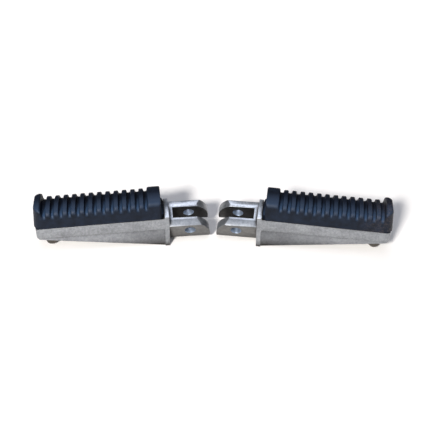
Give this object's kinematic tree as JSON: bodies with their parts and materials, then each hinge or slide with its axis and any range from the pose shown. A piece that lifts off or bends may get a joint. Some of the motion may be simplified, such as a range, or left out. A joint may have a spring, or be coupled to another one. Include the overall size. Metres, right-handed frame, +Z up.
{
  "type": "motorcycle footpeg pair",
  "caption": "Mirror-image folding motorcycle footpegs: die-cast alloy arm with a rolled clevis, ribbed rubber tread pad and a steel feeler.",
  "frame": {"origin": "middle of the pair's bounding box seen from above, on the ground plane that both flanges' feet and both feelers stand on", "axes": "+X runs along the pair from the left peg to the right peg, -Y is the front that faces the viewer, +Z is up with the tread on top"},
  "size_m": [0.272, 0.0418, 0.0414],
  "materials": {
    "alloy": "satin die-cast, fine grain, uncoated",
    "rubber": "moulded black rubber, slight sheen",
    "zinc": "zinc-plated, satin",
    "steel": "dull turned steel, scuffed nose"
  },
  "bodies": {
    "root": {"left_peg_casting": "alloy", "left_tread_pad": "rubber", "left_backing_plate": "zinc", "left_inner_screw": "zinc", "left_inner_washer": "zinc", "left_outer_screw": "zinc", "left_outer_washer": "zinc", "left_feeler": "steel", "right_peg_casting": "alloy", "right_tread_pad": "rubber", "right_backing_plate": "zinc", "right_inner_screw": "zinc", "right_inner_washer": "zinc", "right_outer_screw": "zinc", "right_outer_washer": "zinc", "right_feeler": "steel"}
  },
  "joints": []
}
